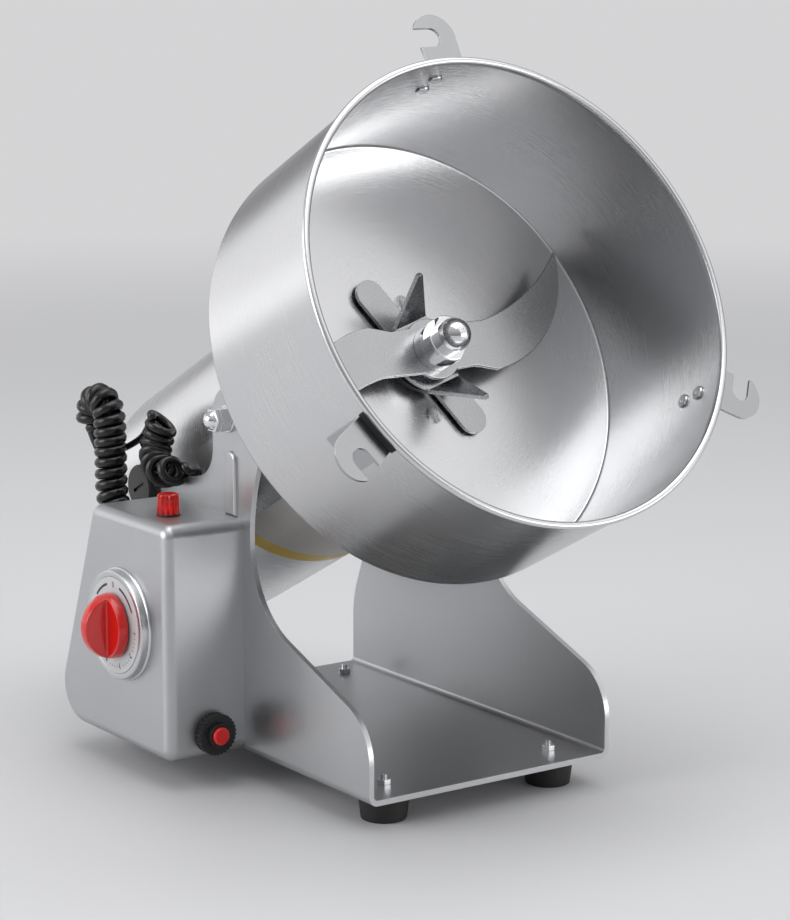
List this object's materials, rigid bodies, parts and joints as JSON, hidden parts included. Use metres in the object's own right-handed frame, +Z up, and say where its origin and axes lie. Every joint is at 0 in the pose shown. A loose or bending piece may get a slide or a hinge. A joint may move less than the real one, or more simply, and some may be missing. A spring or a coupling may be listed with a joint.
{
  "type": "electric grain mill",
  "caption": "Electric grain mill: a steel drum with spinning blades on a motor that swings in a sheet-steel stand, with a timer box at its side.",
  "frame": {"origin": "on the floor, under the middle of the mill's box without its cord", "axes": "+Z up; front, where the drum pours, towards -Y; control box on the -X side; the drum swings about an axis along +X"},
  "size_m": [0.239, 0.3204, 0.3402],
  "materials": {
    "satin_steel": "satin brushed",
    "polished_steel": "polished, fine brush lines round the axis",
    "bright_zinc": "bright plated",
    "blade_steel": "ground",
    "machined_steel": "machined",
    "core_iron": "varnished laminations",
    "copper": "enamelled wire",
    "brass": "turned",
    "aluminium": "satin",
    "white_nylon": "moulded",
    "black_rubber": "matte",
    "black_plastic": "moulded",
    "carbon": "pressed carbon",
    "red_plastic": "glossy",
    "red_lens": "translucent, fluted",
    "clear_glass": "clear"
  },
  "bodies": {
    "stand": {"stand_bracket": "satin_steel", "rubber_feet": "black_rubber", "foot_screws": "bright_zinc", "foot_nuts": "bright_zinc", "control_box": "satin_steel", "box_screws": "bright_zinc", "timer_body": "black_plastic", "timer_screws": "bright_zinc", "dial_bezel": "aluminium", "dial_plate": "aluminium", "lamp_holder": "red_plastic", "lamp_lens": "red_lens", "neon_bulb": "clear_glass", "lamp_nut": "bright_zinc", "breaker_body": "black_plastic", "breaker_nut": "black_plastic", "reset_spring": "machined_steel", "cord_gland": "black_rubber", "mains_gland": "black_rubber", "pivot_bushes": "white_nylon", "pivot_washers": "bright_zinc", "cord_coils": "black_rubber", "cord_lead": "black_rubber"},
    "timer": {"timer_knob": "red_plastic", "timer_shaft": "brass"},
    "button": {"reset_button": "red_plastic"},
    "drum": {"drum_shell": "polished_steel", "floor_screws": "bright_zinc", "lid_hooks": "polished_steel", "hook_rivets": "bright_zinc", "hook_pads": "black_rubber", "motor_housing": "polished_steel", "front_shield": "aluminium", "rear_shield": "aluminium", "rear_cap": "polished_steel", "cap_screws": "bright_zinc", "bearing_outer_rings": "machined_steel", "bearing_balls": "machined_steel", "shaft_seal": "black_rubber", "stator_core": "core_iron", "stator_windings": "copper", "brush_holders": "brass", "carbon_brushes": "carbon", "brush_springs": "machined_steel", "brush_caps": "black_plastic", "cord_elbow": "black_rubber", "pivot_studs": "bright_zinc", "pivot_nuts": "bright_zinc", "pivot_cap_nuts": "bright_zinc"},
    "rotor": {"rotor_shaft": "machined_steel", "bearing_inner_rings": "machined_steel", "armature_core": "core_iron", "armature_windings": "copper", "commutator": "copper", "cooling_fan": "black_plastic", "hub_spacers": "blade_steel", "lower_blade": "blade_steel", "bent_blade": "blade_steel", "sickle_blade": "blade_steel", "hub_nut": "blade_steel"}
  },
  "joints": [
    {"name": "drum_swing", "type": "hinge", "parent": "stand", "child": "drum", "pos_m": [0.00604, 0.01626, 0.1631], "axis": [1, 0, 0], "range_deg": [-62.4, 27.6]},
    {"name": "rotor_spin", "type": "hinge", "parent": "drum", "child": "rotor", "pos_m": [0.00604, 0.01626, 0.1631], "axis": [0, -0.8862, 0.4633], "continuous": true},
    {"name": "timer_turn", "type": "hinge", "parent": "stand", "child": "timer", "pos_m": [-0.09886, 0.04276, 0.07], "axis": [1, 0, 0], "range_deg": [0, 270]},
    {"name": "reset_press", "type": "slide", "parent": "stand", "child": "button", "axis": [0, 1, 0], "range_m": [0, 0.0025], "stiffness_N_per_m": 300, "deforming": ["reset_spring"]}
  ]
}
